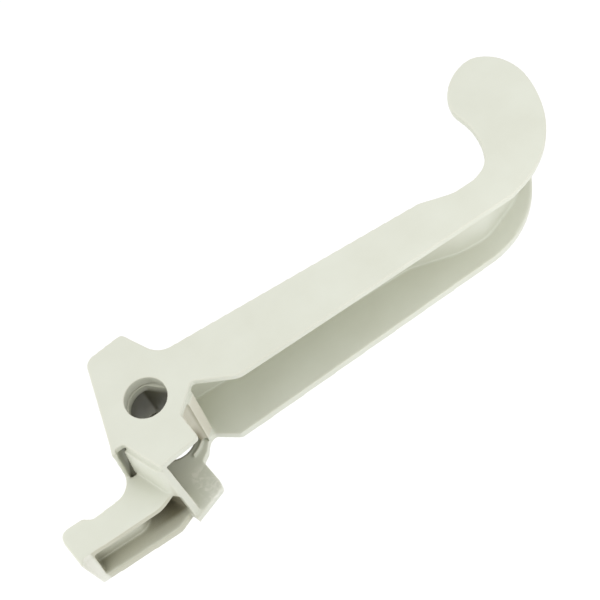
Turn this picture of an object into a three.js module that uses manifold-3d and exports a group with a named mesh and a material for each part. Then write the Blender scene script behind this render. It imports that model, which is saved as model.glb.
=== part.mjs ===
// Stair gate latch lever: one injection moulding, built here from its moulded members.
//
// Units are millimetres. The origin is on the pivot axis, in the plane of the rear face.
// +X runs along the arm from the pivot to the finger hook, +Y points to the side that the
// finger pulls from, and +Z runs along the pivot axis, out of the front face.
//
// The lever is a hollow channel that is open towards -Y: a front plate and rear plates lie
// parallel to the XY plane, and walls between them run along Z. The claw is a shallower
// channel with a front plate of its own, about half way up the depth.

import * as THREE from 'three';
import { mergeVertices } from 'three/addons/utils/BufferGeometryUtils.js';
import Module from 'manifold-3d';

const wasm = await Module();
wasm.setup();

// ---------------------------------------------------------------- driving dimensions

const DEPTH = 25;              // rear face to front face
const FRONT_WALL = 2;          // front plate
const REAR_WALL = 2.5;         // rear plates
const SIDE_WALL = 2;           // walls that run round the far side
const ARM_ROOT_WALL = 2.6;     // arm web where it leaves the head
const WEB_THIN_WALL = 1.25;    // arm web where it starts to bend towards the hook
const HEAD_SIDE_WALL = 0.85;   // thinner wall beside the slot at the head
const HEAD_SIDE_LEAN = 0.05;   // its near end leans out by this much per millimetre of depth
const HEAD_LEAN_START = -1;    // the lean starts at this y,
const HEAD_LEAN_LIMIT = -10;   // and only what lies to the left of this x leans
const CLAW_TOP = 13;           // height of the claw's front face
const CLAW_WALL = 1.75;        // claw's front plate
const CLAW_TIP_LEAN = 0.06;    // the tip leans in by this much per millimetre of depth
const CLAW_TIP_EDGE = 1.1;     // width of the bevel down the tip's near corner

const BORE_RADIUS = 5;         // pivot bore
const BORE_FLAT = 4.5;         // pivot axis to the flat inside the sleeve
const BORE_FLAT_ANGLE = 46;    // degrees from +X to the middle of the flat
const BOSS_RADIUS = 7.5;       // ring under the front plate
const BOSS_DROP = 1.2;         // how far the ring hangs below the front plate
const SLEEVE_RADIUS = 7;       // outside of the inner pivot sleeve
const SLEEVE_TOP = 21.3;       // the sleeve stops short of the ring above it
const SLEEVE_BOTTOM = 6;       // and short of the rear plate
const SLEEVE_COLLAR = 2.4;     // height of the sleeve's narrow top
const SLEEVE_CORE_RADIUS = 6;  // inside of the sleeve below that
const REAR_BORE_RADIUS = 5.9;  // clearance hole in the rear plate
const LIP_RADIUS = 8.1;        // raised lip beside that hole, with its height and width
const LIP_HEIGHT = 0.8;
const LIP_WIDTH = 0.6;
const LIP_START = -76;         // the lip starts here, in degrees from +X, and ends at the rib

const RIB_LEFT = 7;            // faces of the rib between the head and the arm channel
const RIB_RIGHT = 9.2;
const GUSSET_BOTTOM = 3.8;     // lower tip of the gusset between that rib and the sleeve
const HEAD_RIGHT = 8.2;        // the rear plate is split here, under the rib

const SMALLEST_FILLET = 0.4;
const CHORD_ERROR = 0.012;     // how far a straight piece of an arc may miss the arc
const SPLINE_STEPS = 72;       // straight pieces in the free curve of the finger hook

const PLASTIC = { color: 0xe2e5d8, roughness: 0.42, metalness: 0 };

const frontPlateBottom = DEPTH - FRONT_WALL;
const clawPlateBottom = CLAW_TOP - CLAW_WALL;

// ---------------------------------------------------------------- plan outlines
// A corner is [x, y] or [x, y, fillet radius].

const headSide = [[-12.9, -7.7], [-12, -4.6, 16], [-7.6, 14]];
const armRoot = [5.49, 12.75];
const crown = [[-7.6, 14], [-7.04, 16.65, 3], [3.1, 17.65, 1.3], armRoot];
const armFarEdge = [armRoot, [7.86, 7.87, 5.5], [77.3, 3.64, 6], [85.6, 0.85, 9], [88.4, 0.85]];
const webFarEdge = [
  armRoot, [7.86, 7.87, 3], [72, 3.9, 8], [84.8, 0.55, 8], [92.3, -0.05, 9], [104.5, 4.4, 10], [109.6, 10.5],
];

// The finger hook is one free curve, from the arm's far edge round to its near edge.
const hookCurve = [
  [88.4, 0.85], [92.6, 1.2], [96.7, 3.6], [99.3, 8.4], [100.35, 14.2], [100, 20.6], [102.45, 25.9],
  [107.9, 29.9], [114, 30.75], [118.8, 26.8], [120.7, 20.3], [119.4, 12.5], [115.9, 4.7],
  [110.4, -1.7], [103.6, -5.9], [96, -8.15],
];
const frontNearEdge = [
  [96, -8.15], [19.6, -8.15, 6], [10.3, -2.8, 1], [4.35, -8.35, 0.8], [4.9, -15.25, 0.9],
  [-5.4, -16.45, 0.9], [-9.6, -6.7, 0.4], [-11.7, -6.7, 0.5], [-11.85, -7.65], [-12.9, -7.7],
];

const rearNearEdge = [
  [114.7, 8], [103.3, -7.65, 28.5], [86, -8.02], [22, -9.42], [14, -9.5, 1.5], [8.8, -5.45, 1], [6, -6.7],
];
const headRearNear = [
  [HEAD_RIGHT, -5.7], [7, -6.15, 1.2], [5.1, -8.6, 3], [3.1, -9.9, 1], [3.85, -16.4], [3.6, -18.35, 1.3],
  [-5, -21.4],
];

const clawFar = [
  [-13.35, -6.4], [-13.75, -11.1, 4.8], [-24.4, -11.8, 1.5], [-26.3, -10.3, 1.5], [-32.1, -10.15, 1.9],
  [-32.4, -13],
];
const clawTip = [-31.4, -20.2];
const clawFaceNear = [clawTip, [-30.3, -18.75], [-10.4, -18.95, 8], [-5.4, -16.8]];
const clawBaseNear = [clawTip, [-30.3, -20.5], [-9.6, -20.95, 4], [-5.4, -19.2]];

// The claw's web stands back from its far edge. This is the web's near face.
const clawWebNear = [[-30.5, -16.1], [-15.2, -16.3, 4], [-11.7, -10.5, 3], [-11.6, -7.7]];

// The slot through the claw's face, beside the tab wall, and the block of the head that the
// claw's rear plate stops at.
const clawSlot = [[-12.5, -8.5], [-9, -8.5], [-9, -5], [-12.5, -5]];
const headBlock = [[-20, -7.4], [0, -7.4], [0, 0], [-20, 0]];

// The wall across the claw's tip, at its foot and at its top.
const endWallBottom = [
  [-31, -10.9], [-31.7, -12.4], [-30.75, -20.2], [-30.3, -20.3], [-28.7, -20.3], [-29.3, -10.9],
];
const endWallTop = [
  [-31.6, -10.9], [-32.25, -12.4], [-31.3, -20.1], [-30.3, -19.15], [-28.1, -19.1], [-29, -10.9],
];

// Between the tab and the claw a battered wall runs from the front plate down to the claw's
// face, and stands out a little past the tab. Below the face it goes on to the rear plate as a
// thinner wall. Each outline runs from the far outer corner round to the far inner one.
const tabWallTop = [
  [-10.3, -7.3], [-6.7, -15.9], [-5.5, -16.75], [-4.25, -16.45], [-4.9, -14.6], [-8.5, -7],
];
const tabWallFoot = [
  [-11.25, -7.3], [-7.55, -16.6], [-5.3, -18.9], [-3.75, -18.55], [-4.45, -15.3], [-8.7, -7],
];
const lowWallTop = [
  [-10.4, -7.3], [-6.1, -16.2], [-5.3, -18.9], [-3.75, -18.55], [-4.45, -15.3], [-8.7, -7],
];
const lowWallFoot = [
  [-10.6, -7.3], [-5.8, -16.8], [-5.15, -20.5], [-3.4, -19.9], [-4, -16], [-8.9, -7],
];

const channelRibOutline = [[RIB_LEFT, -6.7], [RIB_RIGHT, -4.7], [RIB_RIGHT, 6.5], [RIB_LEFT, 8]];

// The gusset narrows to a tip beside the rib.
const gussetTop = [[3, -5.8], [RIB_LEFT, -6.1], [RIB_LEFT, -1.8], [6, -1.8], [3, -5.3]];
const gussetBottom = [[5.3, -6.05], [RIB_LEFT, -6.1], [RIB_LEFT, -1.8], [6.6, -1.8], [5.3, -5.5]];

// ---------------------------------------------------------------- plan helpers

const vector = ([x, y]) => new THREE.Vector2(x, y);

// How many straight pieces an arc needs.
function arcSteps(radius, turn) {
  return Math.max(2, Math.ceil(Math.abs(turn) / (2 * Math.acos(1 - CHORD_ERROR / radius))));
}

// Points of a run of corners, with each filleted corner replaced by an arc.
function roundedPath(corners) {
  const points = [];
  corners.forEach((corner, i) => {
    const radius = corner[2] ?? 0;
    if (radius === 0 || i === 0 || i === corners.length - 1) {
      points.push(vector(corner));
      return;
    }
    const here = vector(corner);
    const back = vector(corners[i - 1]).sub(here).normalize();
    const ahead = vector(corners[i + 1]).sub(here).normalize();
    const halfAngle = Math.acos(THREE.MathUtils.clamp(back.dot(ahead), -1, 1)) / 2;
    const toCentre = back.clone().add(ahead).setLength(radius / Math.sin(halfAngle));
    const centre = here.clone().add(toCentre);
    const start = back.multiplyScalar(radius / Math.tan(halfAngle)).sub(toCentre);
    const end = ahead.multiplyScalar(radius / Math.tan(halfAngle)).sub(toCentre);
    const turn = Math.atan2(start.cross(end), start.dot(end));
    const steps = arcSteps(radius, turn);
    for (let step = 0; step <= steps; step += 1) {
      points.push(start.clone().rotateAround(new THREE.Vector2(), (turn * step) / steps).add(centre));
    }
  });
  return points;
}

// The same corners moved sideways, to the right of their direction of travel. The distance may
// differ from corner to corner: it is a list, and its last value repeats. Fillets stay
// concentric, and an inner fillet that would vanish keeps the smallest radius.
function offsetCorners(corners, distances) {
  return corners.map((corner, i) => {
    const distance = distances[Math.min(i, distances.length - 1)];
    const here = vector(corner);
    const arriving = here.clone().sub(vector(corners[Math.max(i - 1, 0)])).normalize();
    const leaving = vector(corners[Math.min(i + 1, corners.length - 1)]).sub(here).normalize();
    if (i === 0) arriving.copy(leaving);
    if (i === corners.length - 1) leaving.copy(arriving);
    const bisector = arriving.clone().add(leaving).normalize();
    const stretch = distance / bisector.dot(leaving);
    const moved = [here.x + bisector.y * stretch, here.y - bisector.x * stretch];
    if (corner.length < 3) return moved;
    const radius = corner[2] + distance * Math.sign(arriving.cross(leaving));
    return [...moved, Math.max(radius, SMALLEST_FILLET)];
  });
}

function splinePath(corners) {
  return new THREE.SplineCurve(corners.map(vector)).getPoints(SPLINE_STEPS);
}

// One closed outline from paths that follow each other end to end.
function outline(...paths) {
  const points = paths.flat();
  return new THREE.Shape(points.filter((point, i) => point.distanceTo(points.at(i - 1)) > 1e-3));
}

function polygon(corners) {
  return outline(corners.map(vector));
}

function wallOutline(corners, ...thickness) {
  return outline(roundedPath(corners), roundedPath(offsetCorners(corners, thickness)).reverse());
}

function circleShape(radius) {
  const steps = 4 * Math.ceil(arcSteps(radius, 2 * Math.PI) / 4);
  return polygon(Array.from({ length: steps }, (_, i) => {
    const angle = (2 * Math.PI * i) / steps;
    return [radius * Math.cos(angle), radius * Math.sin(angle)];
  }));
}

// ---------------------------------------------------------------- solid helpers

function prism(shape, bottom, top) {
  const geometry = new THREE.ExtrudeGeometry(shape, { depth: top - bottom, bevelEnabled: false });
  return geometry.translate(0, 0, bottom);
}

// A prism whose outline changes evenly from its lower corners to its upper corners.
function loft(lower, upper, bottom, top) {
  const geometry = prism(polygon(lower), bottom, top);
  const position = geometry.attributes.position;
  for (let i = 0; i < position.count; i += 1) {
    if (position.getZ(i) > (bottom + top) / 2) {
      const corner = lower.findIndex(([x, y]) => (
        Math.hypot(x - position.getX(i), y - position.getY(i)) < 1e-3));
      position.setXY(i, ...upper[corner]);
    }
  }
  return geometry;
}

// Leans part of a wall along X. The share is 1 where it leans fully and 0 where it doesn't, and
// the datum is the height at which nothing moves.
function lean(geometry, slope, datum, share) {
  const position = geometry.attributes.position;
  for (let i = 0; i < position.count; i += 1) {
    const shift = slope * (datum - position.getZ(i)) * share(position.getX(i), position.getY(i));
    position.setX(i, position.getX(i) + shift);
  }
  return geometry;
}

const ramp = (value, from, to) => THREE.MathUtils.clamp((value - from) / (to - from), 0, 1);

const leanTip = (geometry) => lean(geometry, CLAW_TIP_LEAN, CLAW_TOP, (x) => (
  ramp(x, clawTip[0] + CLAW_TIP_EDGE, clawTip[0])));

// The head's side wall leans more and more towards its near end, and so does the rear plate's
// edge below it. The tab and the sleeve lie to the right of the wall and don't lean.
const leanHeadSide = (geometry) => lean(geometry, -HEAD_SIDE_LEAN, frontPlateBottom, (x, y) => (
  x < HEAD_LEAN_LIMIT ? ramp(y, HEAD_LEAN_START, headSide[0][1]) : 0));

function toSolid(geometry) {
  const bare = geometry.clone();
  bare.deleteAttribute('normal');
  bare.deleteAttribute('uv');
  const merged = mergeVertices(bare, 1e-4);
  return new wasm.Manifold(new wasm.Mesh({
    numProp: 3,
    vertProperties: new Float32Array(merged.attributes.position.array),
    triVerts: new Uint32Array(merged.index.array),
  }));
}

function toGeometry(solid) {
  const mesh = solid.getMesh();
  const geometry = new THREE.BufferGeometry();
  geometry.setAttribute('position', new THREE.BufferAttribute(new Float32Array(mesh.vertProperties), 3));
  geometry.setIndex(new THREE.BufferAttribute(new Uint32Array(mesh.triVerts), 1));
  geometry.computeVertexNormals();
  return geometry;
}

function join(first, second) {
  return toGeometry(toSolid(first).add(toSolid(second)));
}

function cut(geometry, ...tools) {
  const solid = tools.reduce((rest, tool) => rest.subtract(toSolid(tool)), toSolid(geometry));
  return toGeometry(solid);
}

function member(name, geometry) {
  const mesh = new THREE.Mesh(geometry, new THREE.MeshStandardMaterial(PLASTIC));
  mesh.name = name;
  return mesh;
}

// ---------------------------------------------------------------- cutting tools

const boreTool = () => prism(circleShape(BORE_RADIUS), -DEPTH, 2 * DEPTH);

// A round hole with one flat, up to some height.
function flattedTool(radius, top) {
  const round = toSolid(prism(circleShape(radius), -DEPTH, top));
  const block = new THREE.BoxGeometry(radius, 4 * radius, 4 * DEPTH);
  block.translate(BORE_FLAT + radius / 2, 0, 0);
  block.rotateZ(THREE.MathUtils.degToRad(BORE_FLAT_ANGLE));
  return toGeometry(round.subtract(toSolid(block)));
}

// Everything between two values of x.
function slab(left, right) {
  return prism(polygon([[left, -60], [right, -60], [right, 60], [left, 60]]), -DEPTH, 2 * DEPTH);
}

// ---------------------------------------------------------------- head

function frontPlate() {
  const shape = outline(
    roundedPath(headSide), roundedPath(crown), roundedPath(armFarEdge),
    splinePath(hookCurve), roundedPath(frontNearEdge),
  );
  return cut(prism(shape, frontPlateBottom, DEPTH), boreTool());
}

function pivotBoss() {
  const ring = prism(circleShape(BOSS_RADIUS), frontPlateBottom - BOSS_DROP, frontPlateBottom);
  return cut(ring, boreTool(), slab(RIB_LEFT, BOSS_RADIUS + 1), ribGusset());
}

// The sleeve has a flat all the way down. Its top is narrow, and below that it is wider inside.
function pivotSleeve() {
  const sleeve = prism(circleShape(SLEEVE_RADIUS), SLEEVE_BOTTOM, SLEEVE_TOP);
  const core = flattedTool(SLEEVE_CORE_RADIUS, SLEEVE_TOP - SLEEVE_COLLAR);
  return cut(sleeve, flattedTool(BORE_RADIUS, 2 * DEPTH), core);
}

// The rib that ties the sleeve to the crown wall.
function sleeveRib() {
  const [left, right, near, far] = [-0.6, 1.2, SLEEVE_RADIUS + 0.05, 15.1];
  return prism(polygon([[left, near], [right, near], [right, far], [left, far]]), SLEEVE_BOTTOM, SLEEVE_TOP);
}

// A wall from the rear plate up to the front plate, inwards from its outer corners.
function perimeterWall(corners, ...thickness) {
  return prism(wallOutline(corners, ...thickness), REAR_WALL, frontPlateBottom);
}

const headSideWall = () => leanHeadSide(perimeterWall(headSide, HEAD_SIDE_WALL));
const crownWall = () => perimeterWall(crown, SIDE_WALL);

function armWeb() {
  const web = perimeterWall(webFarEdge, ARM_ROOT_WALL, ARM_ROOT_WALL, WEB_THIN_WALL, SIDE_WALL);
  return cut(web, crownWall());
}

function channelRib() {
  return cut(prism(polygon(channelRibOutline), REAR_WALL, frontPlateBottom), armWeb(), crownWall());
}

// The gusset that closes the corner between the sleeve and the channel rib.
function ribGusset() {
  const sleeveSpace = prism(circleShape(SLEEVE_RADIUS), SLEEVE_BOTTOM, SLEEVE_TOP);
  return cut(loft(gussetBottom, gussetTop, GUSSET_BOTTOM, frontPlateBottom), sleeveSpace);
}

function tabWall() {
  return join(
    loft(tabWallFoot, tabWallTop, clawPlateBottom, frontPlateBottom),
    loft(lowWallFoot, lowWallTop, REAR_WALL, clawPlateBottom),
  );
}

function headBase() {
  const shape = outline(
    roundedPath(headSide), roundedPath(crown), [armRoot, [HEAD_RIGHT, 7.84]].map(vector),
    roundedPath(headRearNear), [[-5, -21.4], [-9.4, -8.2]].map(vector),
  );
  const hole = prism(circleShape(REAR_BORE_RADIUS), -DEPTH, DEPTH);
  return cut(leanHeadSide(prism(shape, 0, REAR_WALL)), hole);
}

// The raised lip beside the rear hole, on its near side only.
function rearLip() {
  const ring = prism(circleShape(LIP_RADIUS), REAR_WALL, REAR_WALL + LIP_HEIGHT);
  const inside = prism(circleShape(LIP_RADIUS - LIP_WIDTH), -DEPTH, DEPTH);
  const start = THREE.MathUtils.degToRad(LIP_START);
  const reach = 4 * LIP_RADIUS;
  const elsewhere = polygon([
    [0, 0], [RIB_LEFT, 0], [RIB_LEFT, -reach], [reach, -reach], [reach, reach], [-reach, reach],
    [-reach, -reach], [reach * Math.cos(start), reach * Math.sin(start)],
  ]);
  return cut(ring, inside, prism(elsewhere, -DEPTH, DEPTH));
}

// ---------------------------------------------------------------- arm

function armCheek() {
  const shape = outline(roundedPath(webFarEdge), roundedPath(rearNearEdge));
  return cut(prism(shape, 0, REAR_WALL), slab(-60, HEAD_RIGHT));
}

// ---------------------------------------------------------------- claw

// A plate of the claw, whose near edge is given.
function clawPlate(near, bottom, top) {
  const root = [[-9.4, -7.7], [-12.4, -7.7], [-12.4, -6.4]].map(vector);
  return leanTip(prism(outline(root, roundedPath(clawFar), roundedPath(near)), bottom, top));
}

function clawFace() {
  const slot = prism(polygon(clawSlot), 0, DEPTH);
  return cut(clawPlate(clawFaceNear, clawPlateBottom, CLAW_TOP), tabWall(), headSideWall(), slot);
}

function clawWeb() {
  return cut(prism(wallOutline(clawWebNear, -SIDE_WALL), REAR_WALL, clawPlateBottom), headSideWall());
}

function clawEndWall() {
  return cut(loft(endWallBottom, endWallTop, REAR_WALL, clawPlateBottom), clawWeb());
}

function clawBase() {
  const head = prism(polygon(headBlock), -DEPTH, DEPTH);
  return cut(clawPlate(clawBaseNear, 0, REAR_WALL), head, headBase());
}

// ---------------------------------------------------------------- the lever

const lever = new THREE.Group();
lever.add(
  member('front_plate', frontPlate()),
  member('pivot_boss', pivotBoss()),
  member('pivot_sleeve', pivotSleeve()),
  member('sleeve_rib', sleeveRib()),
  member('channel_rib', channelRib()),
  member('rib_gusset', ribGusset()),
  member('head_side_wall', headSideWall()),
  member('crown_wall', crownWall()),
  member('tab_wall', tabWall()),
  member('head_base', headBase()),
  member('rear_lip', rearLip()),
  member('arm_web', armWeb()),
  member('arm_cheek', armCheek()),
  member('claw_face', clawFace()),
  member('claw_web', clawWeb()),
  member('claw_end_wall', clawEndWall()),
  member('claw_base', clawBase()),
);

export default lever;
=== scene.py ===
import math

import bmesh
import bpy
import numpy as np
from mathutils import Matrix, Vector
from mathutils.kdtree import KDTree


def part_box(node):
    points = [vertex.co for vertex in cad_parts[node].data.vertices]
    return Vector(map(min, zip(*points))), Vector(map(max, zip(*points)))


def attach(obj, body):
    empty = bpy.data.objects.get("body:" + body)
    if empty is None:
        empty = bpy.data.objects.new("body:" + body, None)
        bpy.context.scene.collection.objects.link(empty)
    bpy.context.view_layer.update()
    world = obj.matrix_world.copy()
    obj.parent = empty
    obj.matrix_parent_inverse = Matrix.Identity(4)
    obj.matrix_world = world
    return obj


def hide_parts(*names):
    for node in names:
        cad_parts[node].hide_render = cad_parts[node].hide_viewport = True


# Lengths are in millimetres and are multiplied by MM where Blender takes them.
# The lever lies in the CAD frame: +X along the arm, +Y to the far side, +Z out of the front face.

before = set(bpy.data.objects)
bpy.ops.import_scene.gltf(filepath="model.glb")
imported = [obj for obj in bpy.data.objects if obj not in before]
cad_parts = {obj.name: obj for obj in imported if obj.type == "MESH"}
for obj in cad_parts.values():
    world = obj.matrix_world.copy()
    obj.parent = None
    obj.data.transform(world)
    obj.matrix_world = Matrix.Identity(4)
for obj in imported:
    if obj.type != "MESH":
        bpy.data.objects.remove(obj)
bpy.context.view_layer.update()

MM = 0.001
FAR = 300                    # further than any part of the lever

# ---------------------------------------------------------------- view and light

CAMERA_PLACE = (0.45, -127.0, 243.6)
CAMERA_TARGET = (41.0, -0.75, 25.0)
CAMERA_ROLL = math.radians(-17.8)
CAMERA_LENS = 67.5
CAMERA_SENSOR = 36.0
FLOOR_DROP = 60
FLOOR_HALF_WIDTH = 30_000
SKY_STRENGTH = 0.875
SKY_SLOPE = 0.45             # how much brighter the sky is towards its bright side
SKY_BRIGHT_SIDE = (-0.45, 0.45, 0.77)


def link(obj):
    bpy.context.scene.collection.objects.link(obj)
    return obj


def new_node(tree, kind, inputs, **settings):
    # A shader node with its settings, and with values or other nodes' sockets on its inputs.
    node = tree.nodes.new(kind)
    for key, value in settings.items():
        setattr(node, key, value)
    for key, value in inputs.items():
        if isinstance(value, bpy.types.NodeSocket):
            tree.links.new(value, node.inputs[key])
        else:
            node.inputs[key].default_value = value
    return node


def facing(place, target):
    return (Vector(target) - Vector(place)).to_track_quat("-Z", "Y").to_matrix().to_4x4()


def make_camera():
    data = bpy.data.cameras.new("camera")
    data.lens = CAMERA_LENS
    data.sensor_width = CAMERA_SENSOR
    data.clip_start = 10 * MM
    camera = link(bpy.data.objects.new("camera", data))
    place = Matrix.Translation(Vector(CAMERA_PLACE) * MM)
    roll = Matrix.Rotation(CAMERA_ROLL, 4, "Z")
    camera.matrix_world = place @ facing(CAMERA_PLACE, CAMERA_TARGET) @ roll
    bpy.context.scene.camera = camera


def make_softbox(name, place, target, size, watts):
    data = bpy.data.lights.new(name, "AREA")
    data.shape = "DISK"
    data.size = size * MM
    data.energy = watts
    lamp = link(bpy.data.objects.new(name, data))
    lamp.matrix_world = Matrix.Translation(Vector(place) * MM) @ facing(place, target)
    lamp.visible_camera = False


def make_sky():
    # A white studio dome that is a little brighter on one side.
    world = bpy.data.worlds.new("studio")
    bpy.context.scene.world = world
    world.use_nodes = True
    tree = world.node_tree
    direction = new_node(tree, "ShaderNodeTexCoord", {}).outputs["Generated"]
    side = new_node(
        tree, "ShaderNodeVectorMath", {0: direction, 1: SKY_BRIGHT_SIDE}, operation="DOT_PRODUCT")
    strength = new_node(
        tree, "ShaderNodeMath",
        {0: side.outputs["Value"], 1: SKY_SLOPE * SKY_STRENGTH, 2: SKY_STRENGTH},
        operation="MULTIPLY_ADD",
    )
    background = tree.nodes["Background"]
    background.inputs["Color"].default_value = (1.0, 1.0, 1.0, 1.0)
    tree.links.new(strength.outputs[0], background.inputs["Strength"])


def make_floor():
    mesh = bpy.data.meshes.new("floor")
    bm = bmesh.new()
    bmesh.ops.create_grid(bm, x_segments=1, y_segments=1, size=FLOOR_HALF_WIDTH * MM)
    bm.to_mesh(mesh)
    bm.free()
    floor = link(bpy.data.objects.new("floor", mesh))
    floor.location.z = -FLOOR_DROP * MM
    paper = bpy.data.materials.new("white_paper")
    paper.use_nodes = True
    surface = paper.node_tree.nodes["Principled BSDF"]
    surface.inputs["Base Color"].default_value = (0.95, 0.95, 0.95, 1.0)
    surface.inputs["Roughness"].default_value = 0.9
    mesh.materials.append(paper)


def make_studio():
    bpy.context.scene.view_settings.view_transform = "Standard"
    make_camera()
    make_sky()
    make_floor()
    make_softbox("right_softbox", (120, -120, 70), (80, -5, 10), size=90, watts=0.05)
    make_softbox("left_softbox", (-170, -20, 40), (0, 0, 12), size=120, watts=0.05)


# ---------------------------------------------------------------- mesh tools

WELD = 0.002                 # corners closer together than this are one corner


def welded_copy(node):
    bm = bmesh.new()
    bm.from_mesh(node.data)
    bmesh.ops.remove_doubles(bm, verts=bm.verts, dist=WELD * MM)
    mesh = bpy.data.meshes.new(node.name + "_shape")
    bm.to_mesh(mesh)
    bm.free()
    return link(bpy.data.objects.new(mesh.name, mesh))


def prism(outline, bottom, top):
    # A closed upright solid from a plan outline.
    bm = bmesh.new()
    corners = [bm.verts.new(Vector((x, y, bottom)) * MM) for x, y in outline]
    face = bm.faces.new(corners)
    raised = bmesh.ops.extrude_face_region(bm, geom=[face])["geom"]
    moved = [item for item in raised if isinstance(item, bmesh.types.BMVert)]
    bmesh.ops.translate(bm, verts=moved, vec=(0, 0, (top - bottom) * MM))
    bmesh.ops.recalc_face_normals(bm, faces=bm.faces)
    mesh = bpy.data.meshes.new("prism")
    bm.to_mesh(mesh)
    bm.free()
    return link(bpy.data.objects.new("prism", mesh))


def rectangle(left=-FAR, right=FAR, near=-FAR, far=FAR):
    return [(left, near), (right, near), (right, far), (left, far)]


def circle(radius, sides=64):
    turns = [2 * math.pi * i / sides for i in range(sides)]
    return [(radius * math.cos(turn), radius * math.sin(turn)) for turn in turns]


def apply_modifiers(obj):
    bpy.context.view_layer.update()
    depsgraph = bpy.context.evaluated_depsgraph_get()
    mesh = bpy.data.meshes.new_from_object(obj.evaluated_get(depsgraph))
    obj.modifiers.clear()
    obj.data = mesh


def add_boolean(obj, other, operation):
    step = obj.modifiers.new(operation, "BOOLEAN")
    step.operation = operation
    step.object = other
    step.solver = "MANIFOLD"


def add_smoothing(obj, rounds, group=""):
    step = obj.modifiers.new("smooth", "SMOOTH")
    step.factor = 0.5
    step.iterations = rounds
    step.vertex_group = group


def vertex_places(mesh):
    places = np.empty(3 * len(mesh.vertices))
    mesh.vertices.foreach_get("co", places)
    return places.reshape(-1, 3) / MM


# ---------------------------------------------------------------- the moulded body

VOXEL = 0.2                  # grain of the remeshed body
EDGE_ROUNDS = 8              # rounds of smoothing, which set how round every edge is
SOFT_ROUNDS = 30             # more rounds for the edges that the mould left softer
TRIANGLES = 140_000

# The boxes that hold the softer edges, each as its low and its high corner.
SOFT_BOXES = [
    ((-FAR, -FAR, 11.4), (-30, FAR, FAR)),        # face of the claw's tip
    ((-FAR, -FAR, 11.6), (-6.5, -17.4, FAR)),     # near edge of the claw's face
    ((-FAR, -FAR, 1.2), (-6.5, -19.2, 3)),        # near edge of the claw's base
    ((94, 1.6, 23.8), (104.5, 27, FAR)),          # inside of the hook
    ((86, -6, 2.2), (FAR, FAR, 4.5)),             # floor corner at the end of the arm's channel
    ((5.5, -FAR, 3.5), (8, -5, 22.5)),            # crease between the gusset and the channel rib
]

# The parting groove beside the tab, at the top of the tab wall.
GROOVE_PLAN = [(-10.05, -6.2), (-5.6, -16.55), (-5.45, -16.5), (-9.3, -6.2)]
GROOVE_BOTTOM = 22.3
GROOVE_TOP = 23.02


def fuse(shapes):
    # One skin over all members, as they leave the mould together.
    body = link(bpy.data.objects.new("body", shapes[0].data.copy()))
    for shape in shapes[1:]:
        add_boolean(body, shape, "UNION")
    apply_modifiers(body)
    remesh = body.modifiers.new("remesh", "REMESH")
    remesh.mode = "VOXEL"
    remesh.voxel_size = VOXEL * MM
    apply_modifiers(body)
    return body


def soft_vertices(mesh):
    places = vertex_places(mesh)
    soft = np.zeros(len(places), dtype=bool)
    for low, high in SOFT_BOXES:
        soft |= ((places > low) & (places < high)).all(axis=1)
    return np.flatnonzero(soft).tolist()


def round_edges(body):
    soft = body.vertex_groups.new(name="soft")
    soft.add(soft_vertices(body.data), 1.0, "REPLACE")
    add_smoothing(body, EDGE_ROUNDS)
    add_smoothing(body, SOFT_ROUNDS, soft.name)
    apply_modifiers(body)


def thin_out(body):
    # The remeshed skin has four-sided faces, so it holds twice as many triangles as faces.
    step = body.modifiers.new("thin", "DECIMATE")
    step.ratio = TRIANGLES / (2 * len(body.data.polygons))
    apply_modifiers(body)


def make_body():
    shapes = [welded_copy(node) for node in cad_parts.values()]
    body = fuse(shapes)
    for shape in shapes:
        bpy.data.objects.remove(shape)
    round_edges(body)
    thin_out(body)
    body.vertex_groups.clear()
    return body


def cut_groove(body):
    groove = prism(GROOVE_PLAN, GROOVE_BOTTOM, GROOVE_TOP)
    add_boolean(body, groove, "DIFFERENCE")
    apply_modifiers(body)
    bpy.data.objects.remove(groove)


# ---------------------------------------------------------------- rims

RIM_GAIN = 6                 # how quickly a bend of the surface counts as a full rim


def rim_values(mesh):
    # How strongly the surface bends outwards at each vertex: 0 on flats and in corners, 1 on rims.
    count = len(mesh.vertices)
    places = vertex_places(mesh)
    normals = np.empty(3 * count)
    mesh.vertex_normals.foreach_get("vector", normals)
    normals = normals.reshape(-1, 3)
    ends = np.empty(2 * len(mesh.edges), dtype=np.int64)
    mesh.edges.foreach_get("vertices", ends)
    first, second = ends.reshape(-1, 2).T
    neighbours = np.bincount(first, minlength=count) + np.bincount(second, minlength=count)

    def around(values):
        # The mean of the values at each vertex's neighbours.
        sums = [
            np.bincount(first, column[second], count) + np.bincount(second, column[first], count)
            for column in values.T
        ]
        return np.stack(sums, axis=1) / np.maximum(neighbours, 1)[:, None]

    height = ((places - around(places)) * normals).sum(axis=1)
    bend = 1 - np.linalg.norm(around(around(normals)), axis=1)
    rim = np.where(height > 0, np.clip(RIM_GAIN * bend, 0, 1), 0)
    return around(rim[:, None])[:, 0]


def place_tree(places):
    tree = KDTree(len(places))
    for i, place in enumerate(places):
        tree.insert(place, i)
    tree.balance()
    return tree


def add_rims(piece, skin, rims):
    # Each vertex of the piece takes the rim value of the nearest vertex of the uncut skin.
    values = [rims[skin.find(place)[1]] for place in vertex_places(piece.data)]
    # The rim value is the mask of the painted rim highlight in the material.
    attribute = piece.data.attributes.new("rim", "FLOAT", "POINT")
    attribute.data.foreach_set("value", values)


# ---------------------------------------------------------------- members

FILLET = 0.7                 # how far a member's share reaches past its own faces
SHARP_ANGLE = math.radians(50)

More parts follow.
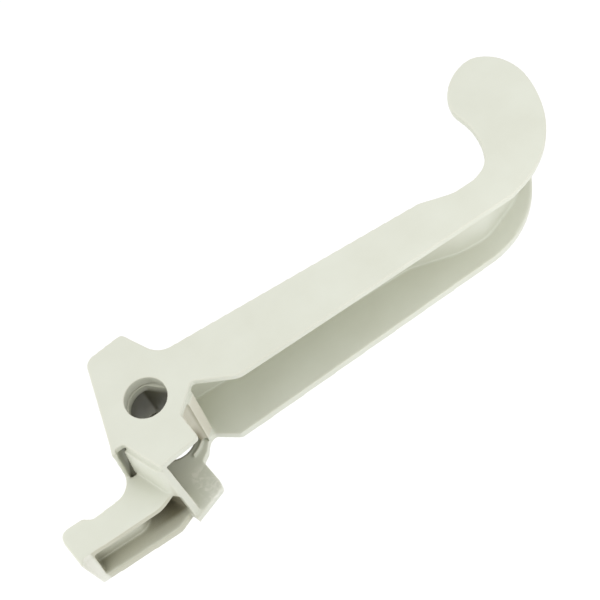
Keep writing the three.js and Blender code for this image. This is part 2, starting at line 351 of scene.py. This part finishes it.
# Where one member's share ends and the next one's begins: RIGHT, MIDDLE and LEFT along X, NEAR and
# FAR along Y.
SIDE_WALL_RIGHT = -6.5
CROWN_NEAR = 10
HEAD_MIDDLE = 1.5            # between the tab wall and the gusset
GUSSET_NEAR = -6.6
GUSSET_FAR = -1
RIB_NEAR = -8
ARM_WEB_LEFT = 2
CLAW_BASE_PLAN = [(-FAR, -7.7), (-12.9, -7.7), (-9.4, -8.2), (-5, -21.4), (-2, -30.4), (-FAR, -30.4)]
TAB_WALL_PLAN = [
    (-11.75, -6.5), (-7.95, -16.7), (-5.6, -19.1), (-5.6, -30), (HEAD_MIDDLE, -30), (HEAD_MIDDLE, -6.5)]


def node_box(name):
    low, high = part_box(name)
    return [value / MM for value in low], [value / MM for value in high]


def plan_box(name, grow):
    low, high = node_box(name)
    return rectangle(low[0] - grow, high[0] + grow, low[1] - grow, high[1] + grow)


def member_shares():
    # The member, the plan outline of its share, and the heights that the share lies between.
    # Each share is taken from what the shares before it have left.
    everywhere = rectangle()
    lip_low, lip_high = node_box("rear_lip")
    plate_bottom = node_box("front_plate")[0][2] - FILLET
    base_top = node_box("head_base")[1][2] + FILLET
    cheek_left = node_box("arm_cheek")[0][0]
    boss_low, boss_high = node_box("pivot_boss")
    sleeve_high = node_box("pivot_sleeve")[1]
    boss_bottom = (boss_low[2] + sleeve_high[2]) / 2
    rib_low, rib_high = node_box("channel_rib")
    rib_left = rib_low[0] - FILLET
    rib_right = rib_high[0] + FILLET
    side_low, side_high = node_box("head_side_wall")
    side_wall_plan = rectangle(right=SIDE_WALL_RIGHT, near=side_low[1] - FILLET, far=side_high[1])
    crown_right = node_box("crown_wall")[1][0]
    claw_plate_bottom = node_box("claw_face")[0][2] - FILLET
    end_wall_right = node_box("claw_end_wall")[1][0] + FILLET
    return [
        ("rear_lip", plan_box("rear_lip", 0), lip_low[2], lip_high[2] + FILLET),
        ("front_plate", everywhere, plate_bottom, FAR),
        ("arm_cheek", rectangle(left=cheek_left), -FAR, base_top),
        ("claw_base", CLAW_BASE_PLAN, -FAR, base_top),
        ("head_base", everywhere, -FAR, base_top),
        ("pivot_boss", circle(boss_high[1] + FILLET), boss_bottom, FAR),
        ("pivot_sleeve", circle(sleeve_high[1] + FILLET), -FAR, FAR),
        ("sleeve_rib", plan_box("sleeve_rib", FILLET), -FAR, FAR),
        ("rib_gusset", rectangle(HEAD_MIDDLE, rib_left, GUSSET_NEAR, GUSSET_FAR), -FAR, FAR),
        ("channel_rib", rectangle(rib_left, rib_right, RIB_NEAR, rib_high[1]), -FAR, FAR),
        ("head_side_wall", side_wall_plan, -FAR, FAR),
        ("crown_wall", rectangle(right=crown_right, near=CROWN_NEAR), -FAR, FAR),
        ("arm_web", rectangle(left=ARM_WEB_LEFT), -FAR, FAR),
        ("tab_wall", TAB_WALL_PLAN, -FAR, FAR),
        ("claw_face", everywhere, claw_plate_bottom, FAR),
        ("claw_end_wall", rectangle(right=end_wall_right), -FAR, FAR),
        ("claw_web", everywhere, -FAR, FAR),
    ]


def take_share(body, name, plan, bottom, top):
    cutter = prism(plan, bottom, top)
    piece = link(bpy.data.objects.new(name + "_moulded", body.data.copy()))
    add_boolean(piece, cutter, "INTERSECT")
    apply_modifiers(piece)
    add_boolean(body, cutter, "DIFFERENCE")
    apply_modifiers(body)
    bpy.data.objects.remove(cutter)
    return piece


def shade(piece):
    for polygon in piece.data.polygons:
        polygon.use_smooth = True
    piece.data.set_sharp_from_angle(angle=SHARP_ANGLE)
    step = piece.modifiers.new("flats", "WEIGHTED_NORMAL")
    step.keep_sharp = True
    apply_modifiers(piece)


# ---------------------------------------------------------------- shader tools


def colour_ramp(tree, source, *stops):
    ramp = new_node(tree, "ShaderNodeValToRGB", {"Fac": source})
    elements = ramp.color_ramp.elements
    while len(elements) < len(stops):
        elements.new(0.5)
    for element, (place, colour) in zip(elements, stops):
        element.position = place
        element.color = colour
    return ramp.outputs["Color"]


def noise(tree, place, scale, detail, distortion=0):
    inputs = {"Vector": place, "Scale": scale, "Detail": detail, "Distortion": distortion}
    return new_node(tree, "ShaderNodeTexNoise", inputs).outputs["Fac"]


def mixed(tree, blend, share, first, second):
    # Inputs 6 and 7 are the mix node's two colours, and output 2 is the mixed colour.
    inputs = {0: share, 6: first, 7: second}
    return new_node(tree, "ShaderNodeMix", inputs, data_type="RGBA", blend_type=blend).outputs[2]


def span(tree, source, low, high, low_to, high_to):
    # Goes evenly from one value to another while the source goes from low to high.
    inputs = {"Value": source, "From Min": low, "From Max": high, "To Min": low_to, "To Max": high_to}
    return new_node(tree, "ShaderNodeMapRange", inputs).outputs[0]


def rising(tree, length, start, end):
    return span(tree, length, start * MM, end * MM, 0, 1)


def falling(tree, length, start, end):
    return span(tree, length, start * MM, end * MM, 1, 0)


def combined(tree, operation, shares):
    result = shares[0]
    for share in shares[1:]:
        result = new_node(tree, "ShaderNodeMath", {0: result, 1: share}, operation=operation).outputs[0]
    return result


def all_of(tree, *shares):
    return combined(tree, "MULTIPLY", shares)


def any_of(tree, *shares):
    return combined(tree, "MAXIMUM", shares)


def within(tree, length, low, high, soft):
    # 1 between two lengths, and falling to 0 over a soft distance outside them.
    return all_of(tree, rising(tree, length, low - soft, low), falling(tree, length, high, high + soft))


def axes(tree, vector):
    return new_node(tree, "ShaderNodeSeparateXYZ", {"Vector": vector}).outputs


# ---------------------------------------------------------------- material

WHITE = (1.0, 1.0, 1.0, 1.0)
PLASTIC_DARK = (0.640, 0.652, 0.560, 1.0)
PLASTIC_LIGHT = (0.672, 0.688, 0.600, 1.0)
# A painted highlight: a lighter, warmer tone on the rims where the surface bends outwards.
RIM_HIGHLIGHT = (0.70, 0.68, 0.57, 1.0)
# A painted highlight, on the floor of the striker pocket and on the near face of the claw's end wall.
PLASTIC_HIGHLIGHT = (0.86, 0.85, 0.78, 1.0)

# These multiply the colour that they lie on.
# Painted shade on the near-facing edges of the claw's plates.
NEAR_EDGE_SHADE = (0.82, 0.80, 0.74, 1.0)
WARM_RIB = (0.98, 0.93, 0.90, 1.0)
# Painted shade low on the gusset and at the head end of the claw's channel.
GUSSET_CHANNEL_SHADE = (0.50, 0.47, 0.40, 1.0)

# So do these painted shades, listed from the most enclosed places to the most open ones.
CAVITY_SHADE = ((0.05, (0.97, 0.96, 0.93, 1.0)), (0.6, (0.93, 0.93, 0.91, 1.0)), (0.95, WHITE))
DEEP_CAVITY_SHADE = ((0.05, (0.18, 0.165, 0.11, 1.0)), (0.45, (0.72, 0.70, 0.63, 1.0)), (0.9, WHITE))
CAVITY_REACH = 20            # how far away a wall still encloses a place

RIM_HIGHLIGHT_SHARE = 0.6              # the greatest share of RIM_HIGHLIGHT on a rim
POCKET_HIGHLIGHT_SHARE = 0.55           # the greatest shares of PLASTIC_HIGHLIGHT
# The greatest share of the painted highlight on the claw's end wall.
END_WALL_HIGHLIGHT_SHARE = 0.5
SPECULAR_LEVEL = 0.35
SMOOTHEST = 0.36
ROUGHEST = 0.5

# Scales of the noises, in cells to the metre.
MOTTLE_SCALE = 90
WAVE_SCALE = 120
GLOSS_SCALE = 260
POCKET_HIGHLIGHT_SCALE = 330
GRAIN_SCALE = 2600
WAVE_HEIGHT = 0.15
GRAIN_HEIGHT = 0.02

# Each function whose name ends in _places gives 1 in those places and 0 elsewhere, and fades from
# one to the other over a short distance.


def deep_shade_places(tree, place):
    # Where the deeper painted shade goes: the claw's channel, the inside of the pivot sleeve, and the
    # gusset above the base.
    x, y, z = axes(tree, place)
    left_of_head = falling(tree, x, -8, -5)
    under_claw_face = falling(tree, z, 10.5, 12)
    claw = all_of(tree, left_of_head, under_claw_face)
    from_axis = new_node(tree, "ShaderNodeCombineXYZ", {"X": x, "Y": y}).outputs[0]
    radius = new_node(tree, "ShaderNodeVectorMath", {0: from_axis}, operation="LENGTH").outputs["Value"]
    inside_sleeve = falling(tree, radius, 6.2, 6.6)
    under_boss = falling(tree, z, 18, 20)
    sleeve = all_of(tree, inside_sleeve, under_boss)
    right_of_pocket = rising(tree, x, 2, 3)
    left_of_rib = falling(tree, x, 5.6, 6.8)
    near_side_of_sleeve = falling(tree, y, -4, -3)
    above_lip = rising(tree, z, 3.2, 4.5)
    far_below_plate = falling(tree, z, 5, 20)
    gusset = all_of(
        tree, right_of_pocket, left_of_rib, near_side_of_sleeve, above_lip, far_below_plate)
    return any_of(tree, claw, sleeve, gusset)


def claw_near_places(tree, place):
    # The claw's surfaces that face the near side: the edges of its plates, and its end wall.
    normal = new_node(tree, "ShaderNodeNewGeometry", {}).outputs["Normal"]
    facing_near = span(tree, axes(tree, normal)["Y"], -0.8, -0.35, 1, 0)
    outside_channel = falling(tree, axes(tree, place)["Y"], -18, -17.2)
    return all_of(tree, facing_near, outside_channel)


def near_edge_shade_places(tree, place):
    # Painted shade on the near edges of the claw's plates.
    right_of_end_wall = within(tree, axes(tree, place)["X"], -28.2, -6, 0.4)
    return all_of(tree, claw_near_places(tree, place), right_of_end_wall)


def end_wall_highlight_places(tree, place):
    # Painted highlight on the near face of the claw's end wall.
    on_end_wall = falling(tree, axes(tree, place)["X"], -29, -28.4)
    return all_of(tree, claw_near_places(tree, place), on_end_wall)


def rib_places(tree, place):
    # The near faces of the channel rib and the gusset.
    x, y, z = axes(tree, place)
    wide = within(tree, x, 2.5, 9.0, 0.3)
    deep = within(tree, y, -7.5, -4.6, 0.3)
    high = within(tree, z, 4.5, 22.4, 0.6)
    return all_of(tree, wide, deep, high)


def gusset_channel_shade_places(tree, place):
    # Painted shade low on the gusset's near face, and at the end of the claw's channel that is by the
    # head.
    x, y, z = axes(tree, place)
    left_of_rib = falling(tree, x, 5.6, 6.7)
    low = falling(tree, z, 7, 13)
    gusset = all_of(tree, rib_places(tree, place), left_of_rib, low)
    towards_head = rising(tree, x, -17, -9)
    left_of_pocket = falling(tree, x, -5, -4)
    channel_width = within(tree, y, -17.2, -9, 1.2)
    channel_height = within(tree, z, 2, 10.4, 0.6)
    channel = all_of(tree, towards_head, left_of_pocket, channel_width, channel_height)
    return any_of(tree, gusset, channel)


def pocket_highlight_places(tree, place):
    # Patchy painted highlights on the floor of the striker pocket.
    x, y, z = axes(tree, place)
    pocket_width = within(tree, x, -0.8, 3.2, 1.2)
    pocket_length = within(tree, y, -19, -11.5, 1.5)
    floor_height = within(tree, z, 1.5, 3.2, 0.3)
    highlight_patches = span(tree, noise(tree, place, POCKET_HIGHLIGHT_SCALE, 3, distortion=1.6), 0.44, 0.62, 0, 1)
    return all_of(tree, pocket_width, pocket_length, floor_height, highlight_patches)


def cavity_shade_colour(tree, place):
    # Painted shade in hollows, from an ambient occlusion test, and deeper in the deep places.
    around = new_node(tree, "ShaderNodeAmbientOcclusion", {"Distance": CAVITY_REACH * MM}, samples=8)
    openness = around.outputs["AO"]
    cavity_shade = colour_ramp(tree, openness, *CAVITY_SHADE)
    deep_cavity_shade = colour_ramp(tree, openness, *DEEP_CAVITY_SHADE)
    return mixed(tree, "MIX", deep_shade_places(tree, place), cavity_shade, deep_cavity_shade)


def painted(tree, colour, places, greatest, paint):
    # The colour with up to the greatest share of the paint on the given places.
    return mixed(tree, "MIX", span(tree, places, 0, 1, 0, greatest), colour, paint)


def plastic_colour(tree, place):
    mottle = noise(tree, place, MOTTLE_SCALE, 4)
    colour = colour_ramp(tree, mottle, (0.3, PLASTIC_DARK), (0.7, PLASTIC_LIGHT))
    rim = new_node(tree, "ShaderNodeAttribute", {}, attribute_name="rim").outputs["Fac"]
    # Painted highlight on the rims.
    colour = painted(tree, colour, rim, RIM_HIGHLIGHT_SHARE, RIM_HIGHLIGHT)
    # Painted highlights on the pocket floor and on the claw's end wall.
    colour = painted(tree, colour, pocket_highlight_places(tree, place), POCKET_HIGHLIGHT_SHARE, PLASTIC_HIGHLIGHT)
    colour = painted(tree, colour, end_wall_highlight_places(tree, place), END_WALL_HIGHLIGHT_SHARE, PLASTIC_HIGHLIGHT)
    # Painted shade on the claw's near edges.
    colour = mixed(tree, "MULTIPLY", near_edge_shade_places(tree, place), colour, NEAR_EDGE_SHADE)
    colour = mixed(tree, "MULTIPLY", rib_places(tree, place), colour, WARM_RIB)
    # Painted shade low on the gusset and in the claw's channel.
    colour = mixed(tree, "MULTIPLY", gusset_channel_shade_places(tree, place), colour, GUSSET_CHANNEL_SHADE)
    # Painted shade in the cavities.
    return mixed(tree, "MULTIPLY", 1.0, colour, cavity_shade_colour(tree, place))


def bump(tree, height, strength, distance, **base):
    # A bump from a height, on the smooth surface or on the normal of another bump.
    inputs = {"Strength": strength, "Distance": distance * MM, "Height": height}
    return new_node(tree, "ShaderNodeBump", {**inputs, **base}).outputs[0]


def make_plastic():
    # Light grey-ivory moulding: faint mottling and a fine grain, with painted highlights on the rims
    # and some faces, and painted shade in the cavities and on shaded edges.
    material = bpy.data.materials.new("moulded_plastic")
    material.use_nodes = True
    tree = material.node_tree
    surface = tree.nodes["Principled BSDF"]
    place = new_node(tree, "ShaderNodeTexCoord", {}).outputs["Object"]
    tree.links.new(plastic_colour(tree, place), surface.inputs["Base Color"])
    surface.inputs["Specular IOR Level"].default_value = SPECULAR_LEVEL
    gloss = span(tree, noise(tree, place, GLOSS_SCALE, 3), 0.3, 0.7, SMOOTHEST, ROUGHEST)
    tree.links.new(gloss, surface.inputs["Roughness"])
    grain = bump(tree, noise(tree, place, GRAIN_SCALE, 3), 0.25, GRAIN_HEIGHT)
    waves = bump(tree, noise(tree, place, WAVE_SCALE, 1), 0.3, WAVE_HEIGHT, Normal=grain)
    tree.links.new(waves, surface.inputs["Normal"])
    return material


# ---------------------------------------------------------------- the lever


def make_lever():
    body = make_body()
    skin = place_tree(vertex_places(body.data))
    rims = rim_values(body.data)
    cut_groove(body)
    plastic = make_plastic()
    for name, plan, bottom, top in member_shares():
        piece = take_share(body, name, plan, bottom, top)
        shade(piece)
        add_rims(piece, skin, rims)
        piece.data.materials.clear()
        piece.data.materials.append(plastic)
        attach(piece, "root")
        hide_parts(name)
    bpy.data.objects.remove(body)


make_studio()
make_lever()
